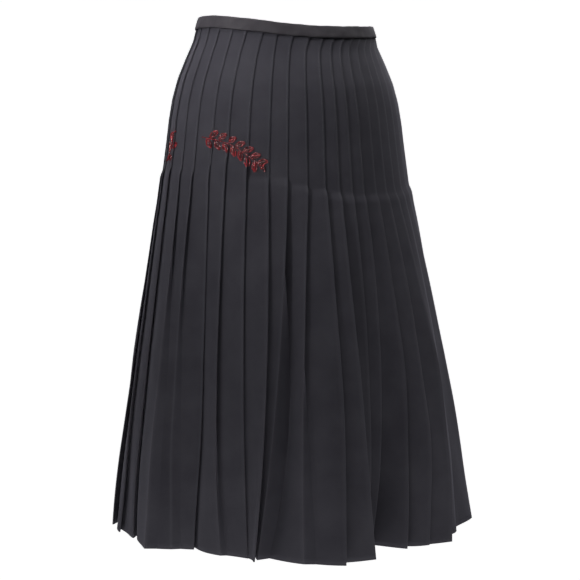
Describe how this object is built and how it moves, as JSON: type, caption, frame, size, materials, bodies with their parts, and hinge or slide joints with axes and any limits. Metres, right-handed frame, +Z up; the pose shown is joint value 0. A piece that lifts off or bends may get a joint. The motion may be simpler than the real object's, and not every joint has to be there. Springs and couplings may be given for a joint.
{
  "type": "flared knife-pleated skirt",
  "caption": "Flared midi skirt in dark wool: knife pleats stitched flat to the hip and falling open to the hem, narrow waistband, concealed side zip.",
  "frame": {"origin": "middle of the waist, 3 mm above the mean height of the waistband's top edge", "axes": "+Z up along the body, -Y to the wearer's front, +X to the wearer's left side, where the zip is"},
  "size_m": [0.4902, 0.4661, 0.6587],
  "materials": {
    "wool": "matte, finely woven dark navy wool with a soft press at the pleats",
    "band": "smooth dark navy satin-faced wool with a slight sheen",
    "zip_tape": "fine dark polyester tape",
    "zip_metal": "dark enamelled zip metal, semi-gloss",
    "beads": "small deep red glass-like beads"
  },
  "bodies": {
    "skirt": {"waistband": "band", "front_panel": "wool", "back_panel": "wool", "zip_tape_front": "zip_tape", "zip_tape_back": "zip_tape", "zip_slider": "zip_metal"},
    "pull": {"zip_pull": "zip_metal"}
  },
  "joints": [
    {"name": "pull_swing", "type": "hinge", "parent": "skirt", "child": "pull", "pos_m": [0.128, 0, -0.009], "axis": [0, -1, 0], "range_deg": [0, 130]}
  ]
}
